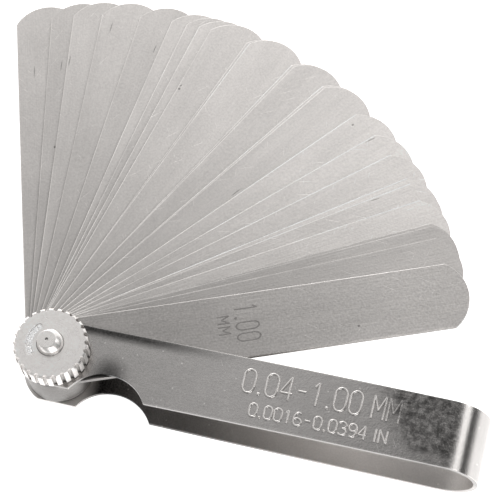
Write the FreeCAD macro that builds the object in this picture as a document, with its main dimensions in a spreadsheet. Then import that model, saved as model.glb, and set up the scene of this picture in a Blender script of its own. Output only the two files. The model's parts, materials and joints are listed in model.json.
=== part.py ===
import FreeCAD, Part
import math
import os
import sys

import Sketcher

# A 25-leaf metric feeler gauge: a case bent from one steel strip, the leaves on one pivot
# screw, and a knurled thumb nut that locks the fan.
#
# Frame, millimetres: the pivot axis is Z through the origin, and z = 0 is the plane that
# the tool rests on, under the pivot screw's head. +X runs along the case to its bend, and
# +Z goes up through the leaves to the thumb nut. The leaves fan out counter-clockwise
# towards +Y.

os.makedirs("parts", exist_ok=True)
doc = FreeCAD.newDocument("feeler_gauge")

# The leaves from the top of the stack down: thickness, then the angle each one is fanned
# out from the case, in degrees. The thickest leaf lies on top as a cover, and below it they
# run from thin to thick.
LEAVES = [
    (1.00, 21.5), (0.04, 26.0), (0.05, 28.0), (0.06, 28.5), (0.08, 32.5),
    (0.10, 35.5), (0.13, 36.5), (0.15, 41.0), (0.18, 45.0), (0.20, 49.5),
    (0.23, 56.0), (0.25, 56.5), (0.28, 62.0), (0.30, 62.5), (0.33, 70.0),
    (0.38, 70.5), (0.40, 76.5), (0.45, 78.5), (0.50, 80.5), (0.55, 83.0),
    (0.60, 88.0), (0.65, 94.0), (0.70, 98.5), (0.80, 102.0), (0.90, 107.5),
]
LEAF_GAP = 0.015
KNURL_TEETH = 26

# ---------------------------------------------------------------- driving dimensions
DIMENSIONS = {
    # case: a strip bent into a U, whose two legs hold the stack
    "sheet": 0.8,
    "case_width": 12.7,
    "case_reach": 81.3,         # pivot axis to the outside of the bend
    "bend_height": 14.6,        # outside height at the bend
    "leaf_gap": LEAF_GAP,
    "leg_space": sum(thickness for thickness, _ in LEAVES) + LEAF_GAP * (len(LEAVES) + 1),
    "end_radius": 6.9,          # rounding of both leg ends about the pivot
    "end_spare": 1.0,           # strip left beyond that rounding before it is trimmed
    "flat_reach": 7.0,          # the legs lie flat on the stack up to here
    "flare_radius": 60.0,       # small bend where the legs leave the stack
    "notch_place": 11.75,       # thumb notch, distance along the case
    "notch_radius": 8.3,
    "notch_depth": 4.15,        # how far the notch cuts in from the -Y edge
    # leaves
    "leaf_width": 12.7,
    "leaf_reach": 77.8,         # pivot axis to the tip
    "tip_radius": 7.5,
    # pivot screw
    "shank": 5.0,
    "running_gap": 0.05,        # between the shank and what turns on it
    "neck_side": 5.6,           # square neck that keeps the screw from turning in the case
    "head_diameter": 9.5,
    "head_height": 1.65,
    "head_chamfer": 0.4,
    "end_diameter": 4.7,        # rounded end that stands out of the thumb nut
    "end_wall": 1.0,            # height of that end's straight wall above the nut
    "end_slope": 0.8,           # height of the sloped ring above that wall
    "end_flat": 3.4,            # diameter of the flat on top
    "end_shift": 0.45,          # the closed-over end leans towards -X
    "dimple_diameter": 0.6,     # centre mark in that flat
    "dimple_depth": 0.3,
    # thumb nut
    "nut_diameter": 13.9,
    "nut_height": 4.4,
    "nut_seat_gap": 0.01,
    "nut_chamfer": 0.4,
    "knurl_depth": 0.65,
    "knurl_radius": 0.42,
    "stake_reach": 3.95,        # curved stake mark in the nut's top face, to its middle
    "stake_half_width": 0.5,
    "stake_depth": 0.15,
    "stake_start": 135.0,       # its ends, in degrees about the pivot axis
    "stake_end": 219.0,
}

sheet = doc.addObject("Spreadsheet::Sheet", "Dimensions")
for row, (alias, value) in enumerate(DIMENSIONS.items(), start=1):
    sheet.set(f"A{row}", alias)
    sheet.set(f"B{row}", f"{value:.4f}")
    sheet.setAlias(f"B{row}", alias)
first_leaf_row = len(DIMENSIONS) + 1
for row, (thickness, angle) in enumerate(LEAVES, start=first_leaf_row):
    number = row - first_leaf_row + 1
    sheet.set(f"A{row}", f"leaf {number}: thickness, angle")
    sheet.set(f"B{row}", f"{thickness:.2f}")
    sheet.set(f"C{row}", f"{angle:.1f}")
    sheet.setAlias(f"B{row}", f"leaf_{number}_thickness")
    sheet.setAlias(f"C{row}", f"leaf_{number}_angle")
doc.recompute()


def size(alias):
    """The value of one driving dimension."""
    return float(sheet.get(alias))


def use(formula):
    """An expression that reads driving dimensions, whose names stand in it between < and >."""
    return formula.replace("<", "Dimensions.").replace(">", "")


# ---------------------------------------------------------------- helpers
LEG_BASE = "<head_height>"      # height of the outer face of the case's lower leg
ORIGIN = (-1, 1)                # a sketch's own origin, as Sketcher numbers it
X_AXIS = -1
START, END, CENTRE = 1, 2, 3    # the points of a line or an arc, as Sketcher numbers them
MAX_PASSES = 6


def settle():
    """Recompute until no object is left waiting for another."""
    for _ in range(MAX_PASSES):
        doc.recompute()
        if not any("Touched" in item.State for item in doc.Objects):
            return


def new_body(label, lift):
    """A body with its own z = 0 at the driven height lift above the resting plane."""
    body = doc.addObject("PartDesign::Body", label)
    body.Label = label
    body.setExpression("Placement.Base.z", use(lift))
    return body


def new_sketch(body, name, role, lift=None):
    """A sketch on one of the body's own origin planes, lifted along that plane's normal."""
    plane = next(f for f in body.Origin.OriginFeatures if f.Role == role)
    drawing = body.newObject("Sketcher::SketchObject", name)
    drawing.AttachmentSupport = [(plane, "")]
    drawing.MapMode = "FlatFace"
    if lift:
        drawing.setExpression("AttachmentOffset.Base.z", use(lift))
    return drawing


def point(x, y):
    return FreeCAD.Vector(x, y, 0)


def arc(centre, radius, start, end):
    """A counter-clockwise arc, with its angles in degrees."""
    circle = Part.Circle(centre, FreeCAD.Vector(0, 0, 1), radius)
    return Part.ArcOfCircle(circle, math.radians(start), math.radians(end))


def fix(drawing, name, formula, kind, *where):
    """A named dimension in a sketch, driven by the sheet."""
    value = float(drawing.evalExpression(use(formula)))
    number = drawing.addConstraint(Sketcher.Constraint(kind, *where, value))
    drawing.renameConstraint(number, name)
    drawing.setExpression(f"Constraints.{name}", use(formula))


def hold(drawing, kind, *where):
    """A geometric rule in a sketch, such as Horizontal or Coincident."""
    drawing.addConstraint(Sketcher.Constraint(kind, *where))


def draw_circle(drawing, radius, name, formula, centre_x=0.0, centre_y=0.0):
    """A circle with a driven radius; its number is returned so that it can be placed."""
    circle = Part.Circle(point(centre_x, centre_y), FreeCAD.Vector(0, 0, 1), radius)
    number = drawing.addGeometry(circle, False)
    fix(drawing, name, formula, "Radius", number)
    return number


def draw_polygon(drawing, corners):
    """A closed run of lines through the corners; returns the numbers of its sides."""
    sides = [
        drawing.addGeometry(Part.LineSegment(point(*a), point(*b)), False)
        for a, b in zip(corners, corners[1:] + corners[:1])
    ]
    for this, following in zip(sides, sides[1:] + sides[:1]):
        hold(drawing, "Coincident", this, END, following, START)
    return sides


def draw_centred_rectangle(drawing, width, height, centre_y, names):
    """An upright rectangle centred on the sketch's Y axis. names: its width, its height and
    its centre's height, each as (name, formula); a centre at the origin needs no third."""
    x, y = width / 2, height / 2
    corners = [(-x, centre_y - y), (x, centre_y - y), (x, centre_y + y), (-x, centre_y + y)]
    sides = draw_polygon(drawing, corners)
    for number, kind in zip(sides, ("Horizontal", "Vertical", "Horizontal", "Vertical")):
        hold(drawing, kind, number)
    middle = drawing.addGeometry(Part.Point(point(0, centre_y)), True)
    hold(drawing, "Symmetric", sides[0], START, sides[2], START, middle, START)
    fix(drawing, *names[0], "DistanceX", sides[0], START, sides[0], END)
    fix(drawing, *names[1], "DistanceY", sides[1], START, sides[1], END)
    if len(names) > 2:
        hold(drawing, "Vertical", *ORIGIN, middle, START)
        fix(drawing, *names[2], "DistanceY", *ORIGIN, middle, START)
    else:
        hold(drawing, "Coincident", middle, START, *ORIGIN)


def pad(body, drawing, name, length):
    feature = body.newObject("PartDesign::Pad", name)
    feature.Profile = drawing
    feature.setExpression("Length", use(length))
    return feature


def pocket(body, drawing, name, length, upwards=False, both_ways=False):
    """Cut the drawing into the body, against the drawing's normal unless upwards is set."""
    feature = body.newObject("PartDesign::Pocket", name)
    feature.Profile = drawing
    feature.setExpression("Length", use(length))
    feature.Reversed = upwards
    feature.Midplane = both_ways
    return feature


def revolve(body, drawing, name):
    """A full turn of the drawing about the pivot axis."""
    feature = body.newObject("PartDesign::Revolution", name)
    feature.Profile = drawing
    feature.ReferenceAxis = (drawing, ["V_Axis"])
    feature.Angle = 360
    return feature


# ---------------------------------------------------------------- case
def draw_strip_path(drawing):
    """The middle line of the strip: leg, flare, long bow, bend, and back the same way."""
    sheet_t = size("sheet")
    middle = sheet_t + size("leg_space") / 2
    leg = (size("leg_space") + sheet_t) / 2         # leg's middle line from the case's middle
    bend = (size("bend_height") - sheet_t) / 2
    bend_x = size("case_reach") - size("bend_height") / 2
    flat_x = size("flat_reach")
    flare = size("flare_radius")
    turn = 2 * math.atan((bend - leg) / (bend_x - flat_x))
    bow = (bend_x - flat_x) / math.sin(turn) - flare
    lean = math.degrees(turn)
    start_x = -size("end_radius") - size("end_spare")

    bend_arc = drawing.addGeometry(arc(point(bend_x, middle), bend, -90, 90), False)
    fix(drawing, "bend_radius", "(<bend_height> - <sheet>) / 2", "Radius", bend_arc)
    fix(drawing, "bend_x", "<case_reach> - <bend_height> / 2",
        "DistanceX", *ORIGIN, bend_arc, CENTRE)
    fix(drawing, "bend_z", "<sheet> + <leg_space> / 2", "DistanceY", *ORIGIN, bend_arc, CENTRE)

    for side, name in ((-1, "lower"), (1, "upper")):
        leg_z = middle + side * leg
        flat = Part.LineSegment(point(start_x, leg_z), point(flat_x, leg_z))
        flat_line = drawing.addGeometry(flat, False)
        flare_centre = point(flat_x, leg_z + side * flare)
        bow_centre = point(bend_x, middle + side * (bend - bow))
        if side > 0:
            flare_arc = drawing.addGeometry(arc(flare_centre, flare, -90, -90 + lean), False)
            bow_arc = drawing.addGeometry(arc(bow_centre, bow, 90, 90 + lean), False)
            from_leg, to_bow, from_flare, to_bend = START, END, END, START
            leg_height = "<sheet> * 1.5 + <leg_space>"
        else:
            flare_arc = drawing.addGeometry(arc(flare_centre, flare, 90 - lean, 90), False)
            bow_arc = drawing.addGeometry(arc(bow_centre, bow, -90 - lean, -90), False)
            from_leg, to_bow, from_flare, to_bend = END, START, START, END
            leg_height = "<sheet> / 2"
        bend_end = END if side > 0 else START
        hold(drawing, "Horizontal", flat_line)
        hold(drawing, "Tangent", flat_line, END, flare_arc, from_leg)
        hold(drawing, "Tangent", flare_arc, to_bow, bow_arc, from_flare)
        hold(drawing, "Tangent", bow_arc, to_bend, bend_arc, bend_end)
        hold(drawing, "Vertical", bend_arc, CENTRE, bend_arc, bend_end)
        fix(drawing, f"{name}_height", leg_height, "DistanceY", *ORIGIN, flat_line, START)
        fix(drawing, f"{name}_start", "<end_radius> + <end_spare>",
            "DistanceX", flat_line, START, *ORIGIN)
        fix(drawing, f"{name}_flat", "<flat_reach>", "DistanceX", *ORIGIN, flat_line, END)
        fix(drawing, f"{name}_flare", "<flare_radius>", "Radius", flare_arc)


def draw_end_trim(drawing):
    """What lies outside the rounding of the leg ends, as a frame with one round side."""
    radius = size("end_radius")
    outer_x = radius + 2 * size("end_spare")
    outer_y = size("case_width") / 2 + 2 * size("end_spare")
    corners = [(0, radius), (0, outer_y), (-outer_x, outer_y), (-outer_x, -outer_y),
               (0, -outer_y), (0, -radius)]
    sides = [
        drawing.addGeometry(Part.LineSegment(point(*a), point(*b)), False)
        for a, b in zip(corners, corners[1:])
    ]
    rounding = drawing.addGeometry(arc(point(0, 0), radius, 90, 270), False)
    for this, following in zip(sides, sides[1:]):
        hold(drawing, "Coincident", this, END, following, START)
    hold(drawing, "Coincident", rounding, CENTRE, *ORIGIN)
    hold(drawing, "Coincident", rounding, START, sides[0], START)
    hold(drawing, "Coincident", rounding, END, sides[-1], END)
    upper_inner, upper, _, lower, lower_inner = sides
    for number in (upper_inner, lower_inner):
        hold(drawing, "Vertical", number)
    for number in (upper, lower):
        hold(drawing, "Horizontal", number)
    hold(drawing, "Vertical", *ORIGIN, sides[0], START)
    hold(drawing, "Vertical", *ORIGIN, sides[-1], END)
    hold(drawing, "Symmetric", sides[2], START, sides[2], END, X_AXIS)
    fix(drawing, "end_radius", "<end_radius>", "Radius", rounding)
    fix(drawing, "outer_x", "<end_radius> + 2 * <end_spare>",
        "DistanceX", sides[1], END, sides[1], START)
    fix(drawing, "outer_y", "<case_width> + 4 * <end_spare>",
        "DistanceY", sides[2], END, sides[2], START)


def build_case():
    """A strip bent into a U, rounded at both leg ends, with a thumb notch in its -Y edge,
    a round pivot hole through both legs and a square one in the lower leg for the neck."""
    body = new_body("case", LEG_BASE)
    path = new_sketch(body, "StripPath", "XZ_Plane")
    draw_strip_path(path)
    section = new_sketch(body, "StripSection", "YZ_Plane", "-(<end_radius> + <end_spare>)")
    draw_centred_rectangle(
        section, size("case_width"), size("sheet"), size("sheet") / 2,
        [("width", "<case_width>"), ("thickness", "<sheet>"), ("height", "<sheet> / 2")],
    )
    settle()
    strip = body.newObject("PartDesign::AdditivePipe", "Strip")
    strip.Profile = section
    strip.Spine = (path, [f"Edge{n}" for n in range(1, len(path.Shape.Edges) + 1)])
    settle()
    trimmed_from = strip.Shape.Volume

    through = "4 * <bend_height>"
    ends = new_sketch(body, "EndTrim", "XY_Plane")
    draw_end_trim(ends)
    pocket(body, ends, "RoundedEnds", through, both_ways=True)

    notch = new_sketch(body, "NotchCircle", "XY_Plane")
    notch_y = size("case_width") / 2 - size("notch_depth") + size("notch_radius")
    circle = draw_circle(notch, size("notch_radius"), "radius", "<notch_radius>",
                         size("notch_place"), -notch_y)
    fix(notch, "place", "<notch_place>", "DistanceX", *ORIGIN, circle, CENTRE)
    fix(notch, "offset", "<case_width> / 2 - <notch_depth> + <notch_radius>",
        "DistanceY", circle, CENTRE, *ORIGIN)
    pocket(body, notch, "ThumbNotch", through, both_ways=True)

    bore = new_sketch(body, "PivotCircle", "XY_Plane")
    circle = draw_circle(bore, size("shank") / 2, "radius", "<shank> / 2 + <running_gap>")
    hold(bore, "Coincident", circle, CENTRE, *ORIGIN)
    pocket(body, bore, "PivotHole", through, both_ways=True)

    square = new_sketch(body, "NeckSquare", "XY_Plane")
    draw_centred_rectangle(
        square, size("neck_side"), size("neck_side"), 0,
        [("width", "<neck_side> + 2 * <running_gap>"),
         ("length", "<neck_side> + 2 * <running_gap>")],
    )
    pocket(body, square, "NeckHole", "4 * <sheet>", both_ways=True)
    settle()
    return body, trimmed_from


# ---------------------------------------------------------------- leaves
def draw_leaf(drawing):
    """A leaf seen from above, lying along +X: rounded about the pivot, parallel sides, and
    a shallow round tip that meets each side at a small corner."""
    half = size("leaf_width") / 2
    tip = size("tip_radius")
    centre_x = size("leaf_reach") - tip
    spread = math.degrees(math.asin(half / tip))
    side_x = centre_x + tip * math.cos(math.radians(spread))

    lower = drawing.addGeometry(Part.LineSegment(point(0, -half), point(side_x, -half)), False)
    tip_arc = drawing.addGeometry(arc(point(centre_x, 0), tip, -spread, spread), False)
    upper = drawing.addGeometry(Part.LineSegment(point(side_x, half), point(0, half)), False)
    heel = drawing.addGeometry(arc(point(0, 0), half, 90, 270), False)
    hold(drawing, "Coincident", heel, CENTRE, *ORIGIN)
    hold(drawing, "Tangent", upper, END, heel, START)
    hold(drawing, "Tangent", heel, END, lower, START)
    hold(drawing, "Horizontal", lower)
    hold(drawing, "Horizontal", upper)
    hold(drawing, "Coincident", lower, END, tip_arc, START)
    hold(drawing, "Coincident", tip_arc, END, upper, START)
    hold(drawing, "Horizontal", *ORIGIN, tip_arc, CENTRE)
    fix(drawing, "half_width", "<leaf_width> / 2", "Radius", heel)
    fix(drawing, "tip_radius", "<tip_radius>", "Radius", tip_arc)
    fix(drawing, "tip_centre", "<leaf_reach> - <tip_radius>",
        "DistanceX", *ORIGIN, tip_arc, CENTRE)
    bore = draw_circle(drawing, size("shank") / 2, "bore_radius", "<shank> / 2 + <running_gap>")
    hold(drawing, "Coincident", bore, CENTRE, *ORIGIN)


def build_leaf(number, base):
    """One leaf whose lower face is at the driven height base, turned to its place in the fan."""
    hundredths = round(size(f"leaf_{number}_thickness") * 100)
    body = new_body(f"leaf_{hundredths // 100}_{hundredths % 100:02d}", base)
    outline = new_sketch(body, f"LeafOutline{number}", "XY_Plane")
    draw_leaf(outline)
    pad(body, outline, f"Leaf{number}", f"<leaf_{number}_thickness>")
    turn = FreeCAD.Rotation(FreeCAD.Vector(0, 0, 1), size(f"leaf_{number}_angle"))
    body.Placement = FreeCAD.Placement(FreeCAD.Vector(), turn)
    body.setExpression("Placement.Rotation.Angle", use(f"<leaf_{number}_angle> * 1 deg"))
    return body


# ---------------------------------------------------------------- pivot screw
def draw_leaning_circle(body, name, lift, diameter):
    """A circle of the named diameter, its middle moved towards -X with the leaning end."""
    drawing = new_sketch(body, name, "XY_Plane", lift)
    circle = draw_circle(drawing, size(diameter) / 2, "radius", f"<{diameter}> / 2",
                         -size("end_shift"))
    hold(drawing, "Horizontal", *ORIGIN, circle, CENTRE)
    fix(drawing, "shift", "<end_shift>", "DistanceX", circle, CENTRE, *ORIGIN)
    return drawing


def build_screw():
    """Low round head under the case, square neck in the lower leg, plain shank through the
    leaves and the nut, and an end that is closed over above the nut, with a centre mark."""
    body = new_body("pivot_screw", LEG_BASE)
    head = new_sketch(body, "HeadCircle", "XY_Plane", "-<head_height>")
    circle = draw_circle(head, size("head_diameter") / 2, "radius", "<head_diameter> / 2")
    hold(head, "Coincident", circle, CENTRE, *ORIGIN)
    pad(body, head, "Head", "<head_height>")

    neck = new_sketch(body, "NeckSquare", "XY_Plane")
    draw_centred_rectangle(
        neck, size("neck_side"), size("neck_side"), 0,
        [("width", "<neck_side>"), ("length", "<neck_side>")],
    )
    pad(body, neck, "Neck", "<sheet>")

    shank = new_sketch(body, "ShankCircle", "XY_Plane")
    circle = draw_circle(shank, size("shank") / 2, "radius", "<shank> / 2")
    hold(shank, "Coincident", circle, CENTRE, *ORIGIN)
    to_nut_top = "<sheet> * 2 + <leg_space> + <nut_seat_gap> + <nut_height>"
    pad(body, shank, "Shank", to_nut_top)

    wall = new_sketch(body, "EndWallCircle", "XY_Plane", to_nut_top)
    circle = draw_circle(wall, size("end_diameter") / 2, "radius", "<end_diameter> / 2")
    hold(wall, "Coincident", circle, CENTRE, *ORIGIN)
    pad(body, wall, "EndWall", "<end_wall>")

    rim = new_sketch(body, "EndRimCircle", "XY_Plane", f"{to_nut_top} + <end_wall>")
    circle = draw_circle(rim, size("end_diameter") / 2, "radius", "<end_diameter> / 2")
    hold(rim, "Coincident", circle, CENTRE, *ORIGIN)
    to_end = f"{to_nut_top} + <end_wall> + <end_slope>"
    flat = draw_leaning_circle(body, "EndFlatCircle", to_end, "end_flat")
    slope = body.newObject("PartDesign::AdditiveLoft", "EndSlope")
    slope.Profile = rim
    slope.Sections = [(flat, [""])]
    settle()

    lowest = min(slope.Shape.Edges, key=lambda edge: edge.CenterOfMass.z)
    edge_name = next(
        f"Edge{n}" for n, edge in enumerate(slope.Shape.Edges, start=1) if edge.isSame(lowest)
    )
    chamfer = body.newObject("PartDesign::Chamfer", "HeadChamfer")
    chamfer.Base = (slope, [edge_name])
    chamfer.setExpression("Size", use("<head_chamfer>"))
    settle()

    dimple = draw_leaning_circle(body, "EndDimpleCircle", to_end, "dimple_diameter")
    pocket(body, dimple, "EndDimple", "<dimple_depth>")
    return body, chamfer


# ---------------------------------------------------------------- thumb nut
def draw_nut_profile(drawing):
    """Half of the nut's round blank beside its axis, chamfered at both rims."""
    inner = size("shank") / 2 + size("running_gap")
    outer = size("nut_diameter") / 2
    bevel = size("nut_chamfer")
    height = size("nut_height")
    corners = [(inner, 0), (outer - bevel, 0), (outer, bevel), (outer, height - bevel),
               (outer - bevel, height), (inner, height)]
    base, low_rim, wall, high_rim, face, bore = draw_polygon(drawing, corners)
    for number in (base, face):
        hold(drawing, "Horizontal", number)
    for number in (wall, bore):
        hold(drawing, "Vertical", number)
    hold(drawing, "Horizontal", *ORIGIN, base, START)
    fix(drawing, "inner", "<shank> / 2 + <running_gap>", "DistanceX", *ORIGIN, base, START)
    fix(drawing, "outer", "<nut_diameter> / 2", "DistanceX", *ORIGIN, wall, START)
    fix(drawing, "height", "<nut_height>", "DistanceY", base, START, face, END)
    for name, number in (("low", low_rim), ("high", high_rim)):
        ends = (number, START, number, END)
        across = ends if number == low_rim else (number, END, number, START)
        fix(drawing, f"{name}_rise", "<nut_chamfer>", "DistanceY", *ends)
        fix(drawing, f"{name}_run", "<nut_chamfer>", "DistanceX", *across)


def draw_stake(drawing):
    """A short curved slot about the nut's axis, with round ends."""
    reach = size("stake_reach")
    half = size("stake_half_width")
    start, end = size("stake_start"), size("stake_end")
    outer = drawing.addGeometry(arc(point(0, 0), reach + half, start, end), False)
    inner = drawing.addGeometry(arc(point(0, 0), reach - half, start, end), False)

    def end_cap(angle, first):
        turn = math.radians(angle)
        place = point(reach * math.cos(turn), reach * math.sin(turn))
        return drawing.addGeometry(arc(place, half, first, first + 180), False)

    start_cap = end_cap(start, start + 180)
    finish_cap = end_cap(end, end)
    for number in (outer, inner):
        hold(drawing, "Coincident", number, CENTRE, *ORIGIN)
    hold(drawing, "Tangent", start_cap, END, outer, START)
    hold(drawing, "Tangent", start_cap, START, inner, START)
    hold(drawing, "Tangent", finish_cap, START, outer, END)
    hold(drawing, "Tangent", finish_cap, END, inner, END)
    fix(drawing, "outer", "<stake_reach> + <stake_half_width>", "Radius", outer)
    fix(drawing, "inner", "<stake_reach> - <stake_half_width>", "Radius", inner)


def build_nut():
    """A round nut with coarse straight knurling and a stake mark in its top face."""
    body = new_body("thumb_nut", f"{LEG_BASE} + 2 * <sheet> + <leg_space> + <nut_seat_gap>")
    profile = new_sketch(body, "NutProfile", "XZ_Plane")
    draw_nut_profile(profile)
    settle()
    revolve(body, profile, "Blank")

    groove = new_sketch(body, "KnurlCircle", "XY_Plane")
    place = size("nut_diameter") / 2 - size("knurl_depth") + size("knurl_radius")
    circle = draw_circle(groove, size("knurl_radius"), "radius", "<knurl_radius>", place)
    hold(groove, "Horizontal", *ORIGIN, circle, CENTRE)
    fix(groove, "place", "<nut_diameter> / 2 - <knurl_depth> + <knurl_radius>",
        "DistanceX", *ORIGIN, circle, CENTRE)
    first_groove = pocket(body, groove, "KnurlGroove", "4 * <nut_height>", both_ways=True)
    settle()
    knurl = body.newObject("PartDesign::PolarPattern", "Knurl")
    knurl.Originals = [first_groove]
    knurl.Axis = (groove, ["N_Axis"])
    knurl.Angle = 360
    knurl.Occurrences = KNURL_TEETH
    body.Tip = knurl
    settle()

    mark = new_sketch(body, "StakeSlot", "XY_Plane", "<nut_height>")
    draw_stake(mark)
    pocket(body, mark, "StakeMark", "<stake_depth>")
    settle()
    return body, knurl


# ---------------------------------------------------------------- build
case, strip_volume = build_case()
screw, unmarked_screw = build_screw()
nut, knurled_blank = build_nut()

sub_parts = [case, screw, nut]
leaf_base = f"{LEG_BASE} + <sheet> + <leg_space>"
for number in range(1, len(LEAVES) + 1):
    leaf_base += f" - <leaf_gap> - <leaf_{number}_thickness>"
    sub_parts.append(build_leaf(number, leaf_base))
settle()

# ---------------------------------------------------------------- checks and export
faults = [
    f"{item.Label} is {'/'.join(item.State)}"
    for item in doc.Objects
    if "Invalid" in item.State or "Error" in item.State
]
for body in sub_parts:
    shape = body.Shape
    if shape.isNull() or not shape.isValid() or len(shape.Solids) != 1:
        faults.append(f"{body.Label} isn't one valid solid")
if case.Shape.Volume >= strip_volume:
    faults.append("the case's pockets cut nothing")
if nut.Shape.Volume >= knurled_blank.Shape.Volume:
    faults.append("the nut's stake mark cut nothing")
if screw.Shape.Volume >= unmarked_screw.Shape.Volume:
    faults.append("the screw's centre mark cut nothing")
if faults:
    sys.exit("; ".join(faults))

for body in sub_parts:
    body.Shape.exportStep(f"parts/{body.Label}.step")
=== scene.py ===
import json
import math

import bpy
from mathutils import Matrix, Vector


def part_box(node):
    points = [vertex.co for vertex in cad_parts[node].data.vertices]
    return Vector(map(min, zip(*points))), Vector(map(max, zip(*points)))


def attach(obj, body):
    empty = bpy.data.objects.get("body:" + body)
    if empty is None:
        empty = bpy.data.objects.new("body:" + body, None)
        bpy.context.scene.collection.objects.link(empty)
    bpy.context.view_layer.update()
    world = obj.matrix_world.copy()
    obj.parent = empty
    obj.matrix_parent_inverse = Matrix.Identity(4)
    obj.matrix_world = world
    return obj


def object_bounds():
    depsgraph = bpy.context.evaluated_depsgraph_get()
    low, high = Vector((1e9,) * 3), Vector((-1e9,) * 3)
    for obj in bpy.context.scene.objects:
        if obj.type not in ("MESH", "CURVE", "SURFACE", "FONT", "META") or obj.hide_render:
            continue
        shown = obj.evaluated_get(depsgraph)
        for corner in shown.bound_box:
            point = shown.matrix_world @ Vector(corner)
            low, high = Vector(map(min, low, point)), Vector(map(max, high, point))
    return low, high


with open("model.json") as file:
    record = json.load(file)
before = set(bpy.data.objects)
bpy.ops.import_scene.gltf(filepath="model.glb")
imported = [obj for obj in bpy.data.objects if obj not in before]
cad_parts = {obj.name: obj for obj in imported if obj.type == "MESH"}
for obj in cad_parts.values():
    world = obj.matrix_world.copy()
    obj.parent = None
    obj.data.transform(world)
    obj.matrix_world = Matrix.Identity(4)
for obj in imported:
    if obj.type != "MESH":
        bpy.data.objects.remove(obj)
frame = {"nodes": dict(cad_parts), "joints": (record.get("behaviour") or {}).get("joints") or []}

# Looks of a 25-leaf feeler gauge: ground spring steel leaves with their sizes etched on
# them, a plated sheet steel case with raised figures, and a plated screw and thumb nut.

MM = 0.001
CAD_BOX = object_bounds()
NODES = frame["nodes"]
CASE_LOW, CASE_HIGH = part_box("case")
LEAF_NAMES = sorted(name for name in NODES if name.startswith("leaf_"))
COVER = LEAF_NAMES[-1]          # the thickest leaf, which lies on top of the others
SWINGS = {joint["child"]: joint for joint in frame["joints"]}


# ---------------------------------------------------------------- node helpers
def node(tree, kind, settings, inputs, output=0):
    """Adds a node. An input is a number, a colour or another node's output."""
    made = tree.nodes.new(kind)
    for key, value in settings.items():
        setattr(made, key, value)
    for key, value in inputs.items():
        if isinstance(value, bpy.types.NodeSocket):
            tree.links.new(value, made.inputs[key])
        else:
            made.inputs[key].default_value = value
    return made.outputs[output] if made.outputs else None


def calc(tree, operation, *values):
    return node(tree, "ShaderNodeMath", {"operation": operation}, dict(enumerate(values)))


def total(tree, *terms):
    """The sum of value times weight over the terms."""
    result = 0.0
    for value, weight in terms:
        result = calc(tree, "MULTIPLY_ADD", value, weight, result)
    return result


def remap(tree, value, low, high, new_low, new_high):
    """Maps low..high smoothly onto new_low..new_high, and stops at both ends."""
    inputs = {"Value": value, "From Min": low, "From Max": high,
              "To Min": new_low, "To Max": new_high}
    return node(tree, "ShaderNodeMapRange", {"interpolation_type": "SMOOTHSTEP"}, inputs)


def band(tree, value, low, high, edge):
    """1 where the value lies between low and high, with soft edges."""
    rising = remap(tree, value, low - edge, low + edge, 0.0, 1.0)
    falling = remap(tree, value, high - edge, high + edge, 1.0, 0.0)
    return calc(tree, "MULTIPLY", rising, falling)


def place(tree, turn=0.0):
    """Where a point lies on its piece, in metres, turned about the pivot axis by -turn degrees."""
    spot = node(tree, "ShaderNodeTexCoord", {}, {}, output="Object")
    settings = {"rotation_type": "Z_AXIS"}
    return node(tree, "ShaderNodeVectorRotate", settings,
                {"Vector": spot, "Angle": -math.radians(turn)})


def part_of(tree, vector, axis):
    return node(tree, "ShaderNodeSeparateXYZ", {}, {0: vector}, output=axis)


def stretch(tree, vector, x, y, z=1.0):
    """Scales a place so that a pattern's grain is x, y and z millimetres long."""
    factors = [1 / (length * MM) for length in (x, y, z)]
    return node(tree, "ShaderNodeVectorMath", {"operation": "MULTIPLY"}, {0: vector, 1: factors})


def noise(tree, vector, detail=3.0, roughness=0.55):
    """Cloudy noise from -1 to 1 with one grain to each unit."""
    inputs = {"Vector": vector, "Scale": 1.0, "Detail": detail, "Roughness": roughness}
    cloud = node(tree, "ShaderNodeTexNoise", {"noise_dimensions": "3D"}, inputs)
    return calc(tree, "MULTIPLY", calc(tree, "SUBTRACT", cloud, 0.5), 2.0)


def marks(tree, vector, turn, length, width, share):
    """1 on small separate marks of this size in millimetres, 0 elsewhere. share: how many of
    the possible places hold one."""
    turned = node(tree, "ShaderNodeVectorRotate", {"rotation_type": "Z_AXIS"},
                  {"Vector": vector, "Angle": math.radians(turn)})
    cells = stretch(tree, turned, length, width, 50.0)
    settings = {"voronoi_dimensions": "2D", "feature": "F1"}
    spread = {"Vector": cells, "Scale": 1.0}
    distance = node(tree, "ShaderNodeTexVoronoi", settings, spread, output="Distance")
    colour = node(tree, "ShaderNodeTexVoronoi", settings, spread, output="Color")
    chosen = calc(tree, "GREATER_THAN", part_of(tree, colour, "X"), 1 - share)
    return calc(tree, "MULTIPLY", chosen, remap(tree, distance, 0.15, 0.45, 1.0, 0.0))


def metal(name, build):
    """A metal material. build(tree) gives its lightness, roughness, height and tint."""
    material = bpy.data.materials.new(name)
    material.use_nodes = True
    tree = material.node_tree
    tree.nodes.clear()
    lightness, roughness, height, tint = build(tree)
    colour = node(tree, "ShaderNodeVectorMath", {"operation": "SCALE"},
                  {0: tint, "Scale": lightness})
    bump = node(tree, "ShaderNodeBump", {}, {"Height": height, "Distance": 0.01 * MM})
    inputs = {"Base Color": colour, "Metallic": 1.0, "Roughness": roughness, "Normal": bump}
    surface = node(tree, "ShaderNodeBsdfPrincipled", {}, inputs)
    node(tree, "ShaderNodeOutputMaterial", {}, {"Surface": surface})
    return material


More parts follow.
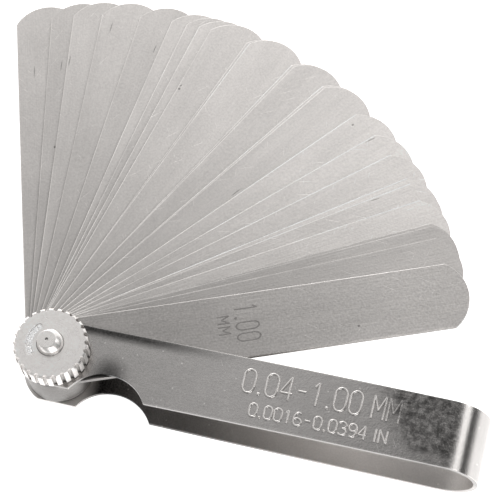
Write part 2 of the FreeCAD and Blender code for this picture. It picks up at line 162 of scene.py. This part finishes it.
# ---------------------------------------------------------------- materials
STEEL_TINT = (1.0, 0.958, 0.926)
PLATE_TINT = (1.0, 0.965, 0.938)
SEED_STEP = 0.137
LEAF_HALF = -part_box(COVER)[0].x                     # the heel is round, so this is half a width
NOTCH_SHADE = Vector((11.2, -2.2, 12.95)) * MM      # middle of the painted shade patch by the notch
STAKE_MIDDLE = 177.0            # middle of the nut's stake mark about the pivot, in degrees
STAKE_HALF_ANGLE = 0.80         # half of the angle it spans, in radians
STAKE_INNER = 3.3 * MM
STAKE_OUTER = 4.6 * MM


def side_shade(tree, darkest):
    """1 on faces that look up or down, falling to darkest on upright ones."""
    normal = node(tree, "ShaderNodeNewGeometry", {}, {}, output="True Normal")
    steepness = calc(tree, "ABSOLUTE", part_of(tree, normal, "Z"))
    return remap(tree, steepness, 0.2, 0.7, darkest, 1.0)


def leaf_steel(name, turn, tone, tip_tone, graininess, seed):
    """Ground spring steel: streaks and fine grain along the leaf, light scratches, a few dark
    pits, a painted highlight along its edges, painted shade on its upright sides, and painted
    shade where the next leaf's edge lies. It goes from tone at the pivot to tip_tone, as painted
    shade that is deepest at the pivot. seed moves the pattern, so that no two leaves are alike."""

    def build(tree):
        spot = place(tree, turn)
        shift = (SEED_STEP * seed, SEED_STEP * seed * 0.7, 0.0)
        own = node(tree, "ShaderNodeVectorMath", {"operation": "ADD"}, {0: spot, 1: shift})
        reach = node(tree, "ShaderNodeVectorMath", {"operation": "LENGTH"}, {0: spot},
                     output="Value")
        # Painted shade: the leaf is darker near the pivot and lighter towards its tip.
        painted_pivot_shade = remap(tree, reach, 4 * MM, 84 * MM, tone, tip_tone)
        streaks = noise(tree, stretch(tree, own, 45.0, 1.6, 20.0))
        grain = noise(tree, stretch(tree, own, 7.0, 0.16, 20.0))
        speckle = noise(tree, stretch(tree, own, 0.42, 0.42), detail=1.0)
        cloud = noise(tree, stretch(tree, own, 15.0, 9.0, 20.0))
        light_lines = marks(tree, own, 34, 5.0, 0.16, 0.010)
        light_dashes = marks(tree, own, -48, 2.0, 0.18, 0.008)
        dark_lines = marks(tree, own, 4, 3.6, 0.34, 0.0022)
        pits = marks(tree, own, 0, 0.8, 0.8, 0.0010)
        # Painted highlight: a lighter band along the leaf's long edges, patchy, and twice as strong
        # near the pivot.
        beside = calc(tree, "ABSOLUTE", part_of(tree, spot, "Y"))
        band_mask = remap(tree, beside, LEAF_HALF - 0.26 * MM, LEAF_HALF - 0.06 * MM, 0.0, 1.0)
        patchy_edge_highlight = calc(tree, "MULTIPLY", band_mask, remap(tree, cloud, -0.6, 0.6, 0.3, 1.0))
        painted_edge_highlight = calc(tree, "MULTIPLY", patchy_edge_highlight, remap(tree, reach, 10 * MM, 60 * MM, 2.0, 1.0))
        pattern = total(tree, (streaks, 0.06), (grain, 0.08), (speckle, graininess), (cloud, 0.13),
                        (light_lines, 0.18), (light_dashes, 0.20), (dark_lines, -0.42),
                        (pits, -0.45), (painted_edge_highlight, 0.38))
        # Painted shade: ambient occlusion darkens the leaf where the next leaf's edge stands over it,
        # more strongly near the pivot.
        beside_leaf = node(tree, "ShaderNodeAmbientOcclusion", {"samples": 8},
                           {"Distance": 0.7 * MM}, output="AO")
        painted_contact_shade = calc(tree, "MULTIPLY", remap(tree, beside_leaf, 0.45, 1.0, 1.0, 0.0),
                     remap(tree, reach, 10 * MM, 75 * MM, 0.50, 0.18))
        tone_with_contact_shade = calc(tree, "MULTIPLY", painted_pivot_shade, calc(tree, "SUBTRACT", 1.0, painted_contact_shade))
        # Painted shade: faces standing upright are darkened down to 0.40.
        tone_with_painted_shade = calc(tree, "MULTIPLY", tone_with_contact_shade, side_shade(tree, 0.40))
        lightness = calc(tree, "MULTIPLY", tone_with_painted_shade, calc(tree, "ADD", pattern, 1.0))
        rough = total(tree, (grain, 0.05), (cloud, 0.04), (pits, 0.30))
        roughness = calc(tree, "ADD", rough, 0.36)
        height = total(tree, (grain, 0.8), (speckle, 0.8), (light_lines, -0.8),
                       (dark_lines, -1.0), (pits, -2.0))
        return lightness, roughness, height, STEEL_TINT

    return metal(name, build)


def case_plate(name, base):
    """Plated sheet steel: bright and smooth, mottled where it has been scuffed near the bend,
    with painted shade near the pivot, along the edge that the leaves sweep past, beside the
    thumb notch, on its cut edges, and painted shade and light inside the lower leg, and painted
    highlights on the outer bend and along its long edges. base: its lightness where nothing has
    marked it."""

    def build(tree):
        spot = place(tree)
        along = part_of(tree, spot, "X")
        across = part_of(tree, spot, "Y")
        height_up = part_of(tree, spot, "Z")
        grain = noise(tree, stretch(tree, spot, 0.25, 1.6, 1.0))
        speckle = noise(tree, stretch(tree, spot, 0.32, 0.32, 0.32), detail=1.0)
        cloud = noise(tree, stretch(tree, spot, 5.0, 4.0, 4.0), detail=6.0, roughness=0.7)
        mottle = noise(tree, stretch(tree, spot, 1.3, 1.3, 1.3), detail=6.0, roughness=0.75)
        lines = marks(tree, spot, 60, 3.0, 0.14, 0.006)
        specks = marks(tree, spot, 0, 0.5, 0.5, 0.006)

        slanted = calc(tree, "MULTIPLY_ADD", across, 0.6, along)
        shifted = calc(tree, "MULTIPLY_ADD", cloud, 5 * MM, slanted)
        band_mask = calc(tree, "MULTIPLY", remap(tree, shifted, 61 * MM, 68 * MM, 0.0, 1.0),
                      remap(tree, along, 75.2 * MM, 77 * MM, 1.0, 0.0))
        blotches = remap(tree, mottle, -0.30, 0.40, 1.0, 0.20)
        inward = calc(tree, "MULTIPLY_ADD", cloud, 0.8 * MM, across)
        clear_edge = remap(tree, inward, -5.4 * MM, -3.6 * MM, 0.35, 1.0)
        mottled = calc(tree, "MULTIPLY", calc(tree, "MULTIPLY", band_mask, clear_edge), blotches)
        # Painted shade near the pivot, and along the edge that the leaves sweep past there.
        near_pivot = remap(tree, along, 14 * MM, 38 * MM, 1.0, 0.0)
        edge = calc(tree, "MULTIPLY_ADD", cloud, 0.6 * MM, across)
        painted_swept_edge_shade = calc(tree, "MULTIPLY", remap(tree, edge, 3.9 * MM, 5.7 * MM, 0.0, 1.0),
                     near_pivot)
        # Painted shade: a dark patch beside the thumb notch.
        from_notch = node(tree, "ShaderNodeVectorMath", {"operation": "DISTANCE"},
                          {0: spot, 1: NOTCH_SHADE}, output="Value")
        painted_notch_shade = remap(tree, from_notch, 0.5 * MM, 4.8 * MM, 1.0, 0.0)

        middle = (CASE_LOW.z + CASE_HIGH.z) / 2
        lower = remap(tree, height_up, middle - 1 * MM, middle + 1 * MM, 1.0, 0.0)
        upper = calc(tree, "SUBTRACT", 1.0, lower)
        normal = node(tree, "ShaderNodeNewGeometry", {}, {}, output="True Normal")
        facing_out = part_of(tree, normal, "X")
        inside = calc(tree, "MULTIPLY", lower, remap(tree, facing_out, 0.1, 0.4, 1.0, 0.0))
        # Painted shade and light inside the lower half: lighter at the pivot end, darkest just past
        # it, lighter again towards the bend.
        tones = total(tree, (remap(tree, along, 8 * MM, 22 * MM, -0.80, -0.44), 1.0),
                      (remap(tree, along, 22 * MM, 62 * MM, 0.0, 0.88), 1.0),
                      (remap(tree, along, 4.5 * MM, 8.5 * MM, 1.6, 0.0), 1.0))
        shade = calc(tree, "MULTIPLY", inside, tones)
        upper_mottled = calc(tree, "MULTIPLY", mottled, upper)
        # Painted highlight on the upper half of the outer bend.
        painted_bend_highlight = calc(tree, "MULTIPLY", upper,
                           remap(tree, facing_out, 0.66, 0.80, 0.0, 1.0))
        # Painted shade on the cut edges, which face sideways.
        painted_cut_edge_shade = remap(tree, calc(tree, "ABSOLUTE", part_of(tree, normal, "Y")),
                         0.6, 0.9, 0.0, 1.0)
        # Painted highlight along both long edges.
        painted_rim_highlight = remap(tree, calc(tree, "ABSOLUTE", across),
                    CASE_HIGH.y - 0.30 * MM, CASE_HIGH.y - 0.08 * MM, 0.0, 1.0)

        pattern = total(tree, (grain, 0.04), (speckle, 0.13), (cloud, 0.11), (lines, 0.20),
                        (specks, 0.35), (upper_mottled, -0.82), (painted_swept_edge_shade, -0.72),
                        (near_pivot, -0.14), (painted_notch_shade, -0.62), (shade, 1.0),
                        (painted_bend_highlight, 0.10), (painted_cut_edge_shade, -0.45), (painted_rim_highlight, 0.30))
        lightness = calc(tree, "MULTIPLY", calc(tree, "ADD", pattern, 1.0), base)
        rough = total(tree, (cloud, 0.03), (upper_mottled, 0.05), (lower, 0.22))
        roughness = calc(tree, "ADD", rough, 0.20)
        height = total(tree, (cloud, 1.2), (speckle, 0.6), (lines, -0.8), (mottle, 0.8))
        return lightness, roughness, height, PLATE_TINT

    return metal(name, build)


def small_plate(name, lightness_level, roughness_level, staked=False):
    """Bright plating on turned steel, with faint rings about the pivot axis, painted shade in its
    recesses and, on a staked piece, torn metal where the staking punch has pressed it."""

    def build(tree):
        spot = place(tree)
        flat = node(tree, "ShaderNodeVectorMath", {"operation": "MULTIPLY"},
                    {0: spot, 1: (1.0, 1.0, 0.0)})
        reach = node(tree, "ShaderNodeVectorMath", {"operation": "LENGTH"}, {0: flat},
                     output="Value")
        rings = node(tree, "ShaderNodeCombineXYZ", {}, {0: reach, 2: part_of(tree, spot, "Z")})
        turning = noise(tree, stretch(tree, rings, 0.15, 1.0, 0.4))
        cloud = noise(tree, stretch(tree, spot, 1.5, 1.5, 1.5))
        speckle = noise(tree, stretch(tree, spot, 0.40, 0.40, 0.40))
        scuffs = marks(tree, spot, 25, 1.2, 0.12, 0.01)
        terms = [(turning, 0.04), (cloud, 0.10), (speckle, 0.14), (scuffs, -0.20)]
        relief = [(turning, 0.5), (cloud, 0.5), (scuffs, -1.0)]
        if staked:
            turned = place(tree, STAKE_MIDDLE)
            angle = calc(tree, "ARCTAN2", part_of(tree, turned, "Y"), part_of(tree, turned, "X"))
            arc = calc(tree, "MULTIPLY", band(tree, angle, -STAKE_HALF_ANGLE, STAKE_HALF_ANGLE, 0.05),
                       band(tree, reach, STAKE_INNER, STAKE_OUTER, 0.15 * MM))
            torn = noise(tree, stretch(tree, spot, 0.5, 0.5, 0.5), detail=4.0, roughness=0.8)
            rugged = calc(tree, "MULTIPLY", arc, torn)
            terms += [(rugged, 1.20), (arc, 0.20)]
            relief += [(rugged, 8.0)]
        pattern = total(tree, *terms)
        # Painted shade: ambient occlusion darkens the recesses, such as the gaps between the knurl's
        # teeth.
        open_sky = node(tree, "ShaderNodeAmbientOcclusion", {"samples": 8},
                        {"Distance": 0.9 * MM}, output="AO")
        painted_recess_shade = remap(tree, open_sky, 0.25, 0.80, 0.12, 1.0)
        lightness = calc(tree, "MULTIPLY", calc(tree, "ADD", pattern, 1.0),
                         calc(tree, "MULTIPLY", painted_recess_shade, lightness_level))
        upright = calc(tree, "SUBTRACT", 1.0, side_shade(tree, 0.0))
        roughness = calc(tree, "ADD", roughness_level,
                         total(tree, (cloud, 0.05), (turning, 0.04), (upright, 0.30)))
        return lightness, roughness, total(tree, *relief), PLATE_TINT

    return metal(name, build)


def etched():
    """The dark matt bottom of an etched figure."""

    def build(tree):
        spot = place(tree)
        speckle = noise(tree, stretch(tree, spot, 0.2, 0.2, 0.2))
        cloud = noise(tree, stretch(tree, spot, 1.2, 1.2, 1.2))
        pattern = total(tree, (speckle, 0.25), (cloud, 0.20))
        lightness = calc(tree, "MULTIPLY", calc(tree, "ADD", pattern, 1.0), 0.33)
        roughness = calc(tree, "ADD", total(tree, (speckle, 0.08), (cloud, 0.05)), 0.55)
        return lightness, roughness, speckle, STEEL_TINT

    return metal("etched_steel", build)


# ---------------------------------------------------------------- finishing the CAD nodes
WELD_GAP = 0.0005 * MM          # corners closer than this become one
FLAT_ANGLE = 0.5                # triangles within this many degrees of each other become one face


def soften(item, width, segments, angle=30.0):
    """Rounds the edges of a CAD node that are sharper than angle degrees by width millimetres.
    Its flat faces are joined up first, so that the rounding is even and they stay flat."""
    weld = item.modifiers.new("Weld", "WELD")
    weld.merge_threshold = WELD_GAP
    merged = item.modifiers.new("MergeFlatFaces", "DECIMATE")
    merged.decimate_type = "DISSOLVE"
    merged.angle_limit = math.radians(FLAT_ANGLE)
    bevel = item.modifiers.new("SoftEdges", "BEVEL")
    bevel.width = width * MM
    bevel.segments = segments
    bevel.limit_method = "ANGLE"
    bevel.angle_limit = math.radians(angle)
    bevel.use_clamp_overlap = True
    weighted = item.modifiers.new("FlatShading", "WEIGHTED_NORMAL")
    weighted.mode = "FACE_AREA_WITH_ANGLE"
    weighted.weight = 100


def dress(item, material):
    """Gives a CAD node its material."""
    item.data.materials.clear()
    item.data.materials.append(material)


LEAF_TONE = 0.58                # lightness of a leaf at the pivot
COVER_TONE = 0.43               # the thick cover leaf is greyer
FOIL_TONE = 0.44                # and so are the thinnest ones
FOIL_LIMIT = 0.07               # in millimetres of thickness
TONE_SPREAD = 0.02              # how much the other leaves differ from each other
GRAININESS = 0.13
COVER_GRAININESS = 0.26
TIP_GAIN = 1.65                 # how much lighter a leaf is at its tip
GAIN_LOSS = 0.008               # for each degree of swing past the middle of the fan
MID_SWING = 45.0
WIDEST_ROUNDING = 0.10          # of a leaf's edges, in millimetres
ROUNDED_SHARE = 0.3             # of a thinner leaf's thickness


def finish_leaves():
    for seed, name in enumerate(LEAF_NAMES, start=1):
        low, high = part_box(name)
        thickness = (high.z - low.z) / MM
        turn = -SWINGS[name]["range_deg"][0]
        tone = LEAF_TONE + TONE_SPREAD * math.sin(2.4 * seed)
        if name == COVER:
            tone = COVER_TONE
        elif thickness < FOIL_LIMIT:
            tone = FOIL_TONE
        gain = TIP_GAIN - GAIN_LOSS * max(0.0, turn - MID_SWING)
        graininess = COVER_GRAININESS if name == COVER else GRAININESS
        material = leaf_steel(name, turn, tone, tone * gain, graininess, seed)
        dress(NODES[name], material)
        soften(NODES[name], min(ROUNDED_SHARE * thickness, WIDEST_ROUNDING), 2)


# ---------------------------------------------------------------- figures
def oval(centre_x, centre_y, half_width, half_height, start=0, end=360):
    """Points on an oval from one angle to another, in degrees, in the box of a figure."""
    steps = max(2, abs(end - start) // 15)
    angles = [math.radians(start + (end - start) * step / steps) for step in range(steps + 1)]
    return [(centre_x + half_width * math.cos(a), centre_y + half_height * math.sin(a))
            for a in angles]


def straights(*points):
    """One stroke for each straight piece, so that sharp corners keep their full width."""
    return [list(pair) for pair in zip(points, points[1:])]


# Each figure as strokes in a box one unit wide and one unit high.
ZERO = oval(0.5, 0.72, 0.5, 0.28, 0, 180) + oval(0.5, 0.28, 0.5, 0.28, 180, 360) + [(1, 0.72)]
SIX_STEM = oval(0.55, 0.50, 0.55, 0.50, 60, 180)
FIGURES = {
    "0": [ZERO],
    "1": straights((0.20, 0.80), (0.50, 1), (0.50, 0)),
    "2": [oval(0.5, 0.72, 0.5, 0.28, 165, -40) + [(0, 0)], [(0, 0), (1, 0)]],
    "3": [oval(0.45, 0.75, 0.5, 0.25, 150, -90), oval(0.45, 0.25, 0.55, 0.25, 90, -150)],
    "4": straights((0.75, 0), (0.75, 1), (0, 0.30), (1, 0.30)),
    "5": straights((0.95, 1), (0.10, 1), (0.05, 0.55)) + [oval(0.45, 0.31, 0.55, 0.31, 135, -150)],
    "6": [SIX_STEM + [(0, 0.3)], oval(0.5, 0.28, 0.5, 0.28)],
    "7": straights((0, 1), (1, 1), (0.35, 0)),
    "8": [oval(0.5, 0.75, 0.42, 0.25), oval(0.5, 0.25, 0.5, 0.25)],
    "9": [[(1 - x, 1 - y) for x, y in SIX_STEM] + [(1, 0.7)], oval(0.5, 0.72, 0.5, 0.28)],
    ".": [oval(0.5, 0.03, 0.06, 0.03)],
    "-": [[(0.15, 0.5), (0.85, 0.5)]],
    "M": straights((0, 0), (0, 1), (0.5, 0.35), (1, 1), (1, 0)),
    "I": [[(0.5, 0), (0.5, 1)]],
    "N": straights((0, 0), (0, 1), (1, 0), (1, 1)),
    " ": [],
}
NARROW = ".I "                  # these take less room
NARROW_SHARE = 0.35             # and this is how much of a place they take


def figures(name, text, height, width, space, stroke, rise):
    """Figures drawn with one round stroke, lying flat, centred on the origin and reading
    along +X. All sizes in millimetres; rise: how far the stroke stands above its middle."""
    curve = bpy.data.curves.new(name, "CURVE")
    curve.dimensions = "3D"
    curve.bevel_depth = stroke / 2 * MM
    curve.bevel_resolution = 2
    curve.use_fill_caps = True
    widths = [width * (NARROW_SHARE if letter in NARROW else 1.0) for letter in text]
    start = -(sum(widths) + space * (len(text) - 1)) / 2
    for letter, own_width in zip(text, widths):
        for points in FIGURES[letter]:
            line = curve.splines.new("POLY")
            closed = math.dist(points[0], points[-1]) < 0.01
            points = points[:-1] if closed else points
            line.points.add(len(points) - 1)
            for corner, (x, y) in zip(line.points, points):
                offset = (own_width - width) / 2 + width * x if letter in NARROW else width * x
                corner.co = ((start + offset) * MM, (y - 0.5) * height * MM, 0, 1)
            line.use_cyclic_u = closed
        start += own_width + space
    holder = bpy.data.objects.new(name, curve)
    bpy.context.scene.collection.objects.link(holder)
    bpy.context.view_layer.update()
    shaped = holder.evaluated_get(bpy.context.evaluated_depsgraph_get())
    mesh = bpy.data.meshes.new_from_object(shaped)
    bpy.data.objects.remove(holder)
    mesh.transform(Matrix.Diagonal((1.0, 1.0, rise / (stroke / 2), 1.0)))
    mesh.shade_smooth()
    made = bpy.data.objects.new(name, mesh)
    bpy.context.scene.collection.objects.link(made)
    return made


# Millimetres.
ETCH_RISE = 0.003               # an etched figure stands this much proud of its leaf
ETCH_STROKE = 0.30
ETCH_SPACE = 0.70
COVER_SIDE = 0.5                # how far the cover's marks stand off its middle line
HIDDEN_SIDE = -2.4              # the others' marks lie where the fan hides them
RAISED_RISE = 0.24
RAISED_STROKE = 0.46
RAISED_SPACE = 0.32             # share of a figure's width


def etch_leaf(name, material):
    """The leaf's own thickness and its unit, across the leaf, with their tops to the tip."""
    turn = math.radians(-SWINGS[name]["range_deg"][0])
    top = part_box(name)[1].z
    number = name.replace("leaf_", "").replace("_", ".")
    side = COVER_SIDE if name == COVER else HIDDEN_SIDE
    for kind, text, height, width, reach in (
        ("size", number, 4.3, 1.5, 36.3), ("unit", "MM", 2.3, 1.4, 31.9),
    ):
        made = figures(f"{kind}_{name}", text, height, width,
                       ETCH_SPACE, ETCH_STROKE, ETCH_RISE)
        across = Matrix.Rotation(-math.pi / 2, 4, "Z")
        out = Matrix.Translation((reach * MM, side * MM, 0))
        swing = Matrix.Rotation(turn, 4, "Z")
        lift = Matrix.Translation((0, 0, top))
        made.data.transform(lift @ swing @ out @ across)
        made.data.materials.append(material)
        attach(made, name)


def raise_on_case(name, text, height, width, at_x, at_y, material):
    """Raised figures on the case's upper leg, following its bow."""
    made = figures(name, text, height, width, RAISED_SPACE * width, RAISED_STROKE, RAISED_RISE)
    case = NODES["case"]
    above = CASE_HIGH.z + 10 * MM
    down = Vector((0, 0, -1))
    for vertex in made.data.vertices:
        x = vertex.co.x + at_x * MM
        y = vertex.co.y + at_y * MM
        _, surface, _, _ = case.ray_cast(Vector((x, y, above)), down)
        vertex.co = Vector((x, y, vertex.co.z + surface.z))
    made.data.materials.append(material)
    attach(made, "case")


# ---------------------------------------------------------------- stage
FLOOR_HALF = 3.0                # metres
FLOOR_GAP = 0.02 * MM           # between the floor and the tool
FLOOR_GLOW = 0.88


def build_floor():
    """A wide pale floor, lit a little from itself so that shadows stay faint."""
    mesh = bpy.data.meshes.new("floor")
    signs = ((-1, -1), (1, -1), (1, 1), (-1, 1))
    corners = [(x * FLOOR_HALF, y * FLOOR_HALF, 0) for x, y in signs]
    mesh.from_pydata(corners, [], [(0, 1, 2, 3)])
    floor = bpy.data.objects.new("floor", mesh)
    bpy.context.scene.collection.objects.link(floor)
    floor.location.z = CAD_BOX[0].z - FLOOR_GAP
    material = bpy.data.materials.new("floor")
    material.use_nodes = True
    tree = material.node_tree
    tree.nodes.clear()
    inputs = {"Base Color": (0.9, 0.9, 0.9, 1.0), "Roughness": 0.8,
              "Emission Color": (1.0, 1.0, 1.0, 1.0), "Emission Strength": FLOOR_GLOW}
    surface = node(tree, "ShaderNodeBsdfPrincipled", {}, inputs)
    node(tree, "ShaderNodeOutputMaterial", {}, {"Surface": surface})
    mesh.materials.append(material)


def build_world():
    """Soft light from all round: brightest behind, greyer overhead towards the camera, with a
    dark screen overhead and a dark strip low down beside the bend."""
    world = bpy.data.worlds.new("studio")
    bpy.context.scene.world = world
    world.use_nodes = True
    tree = world.node_tree
    tree.nodes.clear()
    spot = node(tree, "ShaderNodeTexCoord", {}, {}, output="Generated")
    side, ahead, up = (part_of(tree, spot, axis) for axis in "XYZ")
    sky = remap(tree, ahead, 0.10, 0.60, 0.42, 1.0)
    screen = calc(tree, "MULTIPLY", band(tree, side, -0.085, 0.40, 0.02),
                  remap(tree, ahead, 0.32, 0.37, 1.0, 0.0))
    overhead = calc(tree, "MULTIPLY", screen, remap(tree, up, 0.6, 0.7, 0.0, 1.0))
    strip = calc(tree, "MULTIPLY", band(tree, up, 0.17, 0.50, 0.05),
                 remap(tree, side, 0.45, 0.60, 0.0, 1.0))
    shade = total(tree, (overhead, -0.80), (strip, -0.85))
    strength = calc(tree, "MULTIPLY", sky, calc(tree, "ADD", shade, 1.0))
    light = node(tree, "ShaderNodeBackground", {},
                 {"Color": (1.0, 1.0, 1.0, 1.0), "Strength": strength})
    node(tree, "ShaderNodeOutputWorld", {}, {"Surface": light})


def area_light(name, where, aim, side, power):
    """A square lamp with this side in metres and this power in watts, turned towards aim."""
    lamp = bpy.data.lights.new(name, "AREA")
    lamp.shape = "SQUARE"
    lamp.size = side
    lamp.energy = power
    holder = bpy.data.objects.new(name, lamp)
    bpy.context.scene.collection.objects.link(holder)
    holder.location = where
    holder.rotation_mode = "QUATERNION"
    holder.rotation_quaternion = (aim - where).to_track_quat("-Z", "Y")


CAMERA_TURNS = (21.05, 67.11, -7.86)                # azimuth, elevation and roll, in degrees
CAMERA_DISTANCE = 437.5 * MM
CAMERA_AIM = Vector((29.63, 29.95, 6.65)) * MM
FOCAL_LENGTH = 165.42                               # millimetres
SENSOR_WIDTH = 36.0
CAMERA_SHIFT = (0.0021, 0.0012)                     # shares of the sensor's width


def build_camera():
    """A long lens above and in front of the case, rolled a little."""
    azimuth, elevation, roll = (math.radians(turn) for turn in CAMERA_TURNS)
    back = Vector((math.sin(azimuth) * math.cos(elevation),
                   -math.cos(azimuth) * math.cos(elevation), math.sin(elevation)))
    right = Vector((0, 0, 1)).cross(back).normalized()
    upward = back.cross(right)
    rolled_right = math.cos(roll) * right + math.sin(roll) * upward
    rolled_up = math.cos(roll) * upward - math.sin(roll) * right
    turn = Matrix((rolled_right, rolled_up, back)).transposed().to_4x4()
    lens = bpy.data.cameras.new("camera")
    lens.lens = FOCAL_LENGTH
    lens.sensor_width = SENSOR_WIDTH
    lens.shift_x, lens.shift_y = CAMERA_SHIFT
    lens.clip_start = 0.01
    holder = bpy.data.objects.new("camera", lens)
    bpy.context.scene.collection.objects.link(holder)
    holder.matrix_world = Matrix.Translation(CAMERA_AIM + back * CAMERA_DISTANCE) @ turn
    bpy.context.scene.camera = holder


# ---------------------------------------------------------------- build
plate = case_plate("case_plate", 0.52)
ridges = case_plate("case_ridges", 0.80)
dress(NODES["case"], plate)
soften(NODES["case"], 0.08, 2)
dress(NODES["thumb_nut"], small_plate("nut_plate", 0.98, 0.29, staked=True))
soften(NODES["thumb_nut"], 0.14, 3, angle=40.0)
dress(NODES["pivot_screw"], small_plate("screw_plate", 0.98, 0.28))
soften(NODES["pivot_screw"], 0.10, 2)
finish_leaves()

etch = etched()
for leaf_name in LEAF_NAMES:
    etch_leaf(leaf_name, etch)
raise_on_case("case_range_mm", "0.04-1.00 MM", 4.5, 2.15, 50.5, 2.0, ridges)
raise_on_case("case_range_inch", "0.0016-0.0394 IN", 2.5, 1.40, 51.0, -3.3, ridges)

build_floor()
build_world()
middle = (CAD_BOX[0] + CAD_BOX[1]) / 2
area_light("back_light", middle + Vector((-0.30, 0.75, 0.33)), middle, 0.45, 1.4)
area_light("front_light", middle + Vector((0.40, -0.50, 0.25)), middle, 0.50, 1.3)
area_light("side_light", middle + Vector((0.58, 0.26, 0.52)), middle, 0.28, 0.32)
build_camera()
bpy.context.scene.view_settings.view_transform = "Standard"
